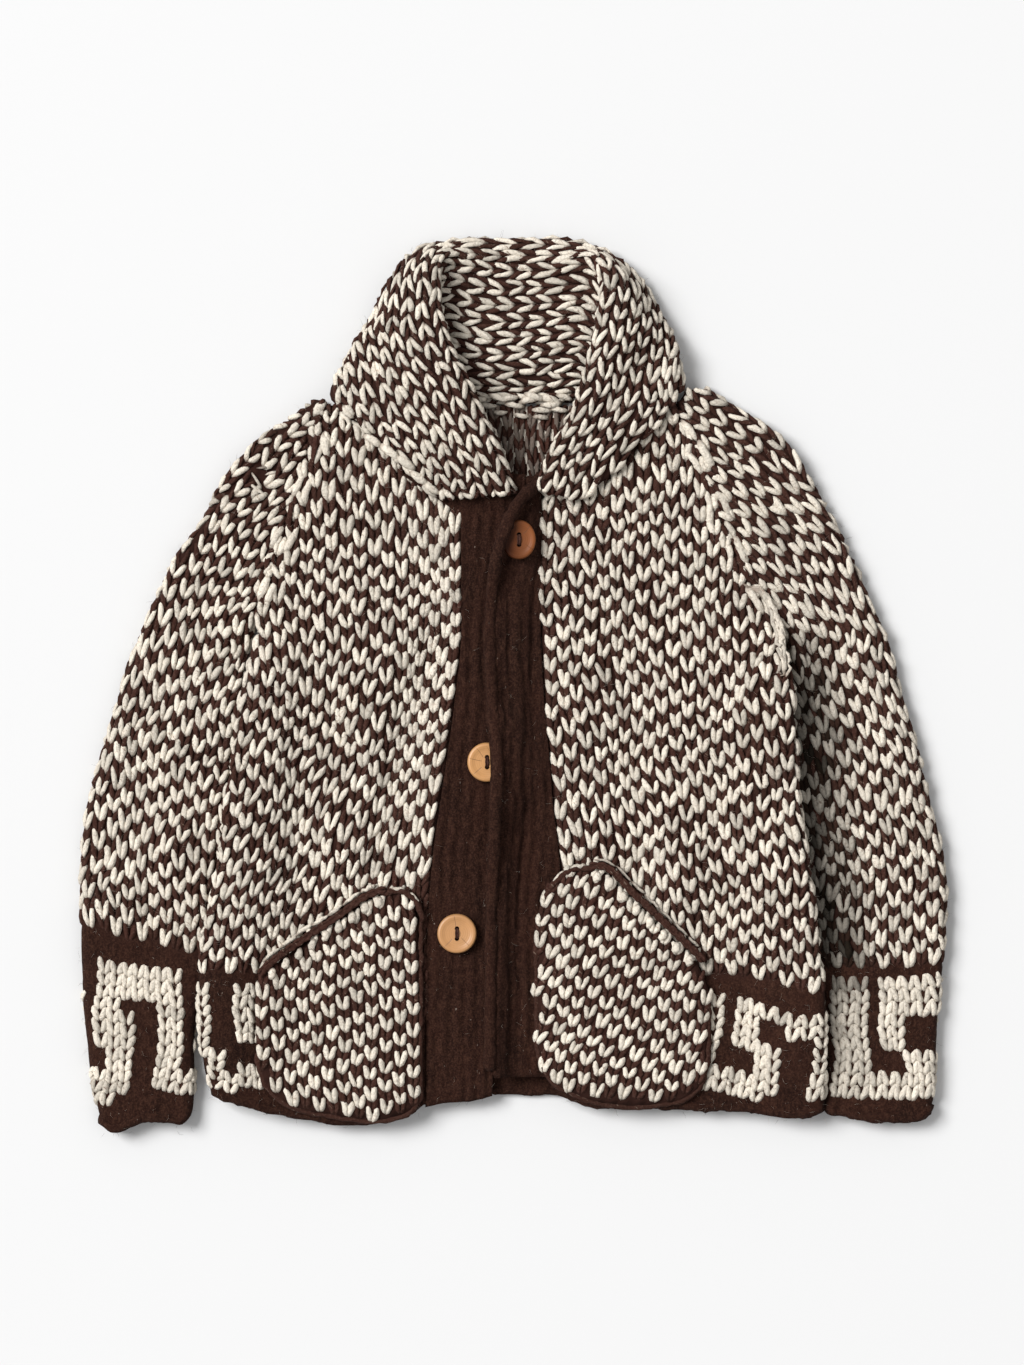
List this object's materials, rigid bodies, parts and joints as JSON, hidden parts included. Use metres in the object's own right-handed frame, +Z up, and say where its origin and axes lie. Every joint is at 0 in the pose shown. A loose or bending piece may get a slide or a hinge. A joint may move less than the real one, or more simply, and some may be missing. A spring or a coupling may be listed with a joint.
{
  "type": "cowichan sweater",
  "caption": "Thick hand-knitted shawl-collar cardigan with raglan sleeves, patch pockets and wooden buttons, laid flat on its back.",
  "frame": {"origin": "centre of the bounding box on the surface that the sweater lies on", "axes": "+Z up out of the surface, +Y from hem to collar, +X to the wearer's left"},
  "size_m": [0.488, 0.504, 0.0342],
  "materials": {
    "two_colour_knit": "thick wool knit in cream and dark brown, one stitch of each in turn",
    "brown_rib": "dark brown ribbed wool knit with loose hairs",
    "brown_crochet": "dark brown crocheted wool edging",
    "button_wood": "waxed pale wood, end grain"
  },
  "bodies": {
    "root": {"back": "two_colour_knit", "front_right": "two_colour_knit", "front_left": "two_colour_knit", "sleeve_right": "two_colour_knit", "sleeve_left": "two_colour_knit", "collar": "two_colour_knit", "pocket_right": "two_colour_knit", "pocket_left": "two_colour_knit", "band_right": "brown_rib", "band_left": "brown_rib", "edging_right": "brown_crochet", "edging_left": "brown_crochet", "button_top": "button_wood", "button_middle": "button_wood", "button_bottom": "button_wood"}
  },
  "joints": []
}
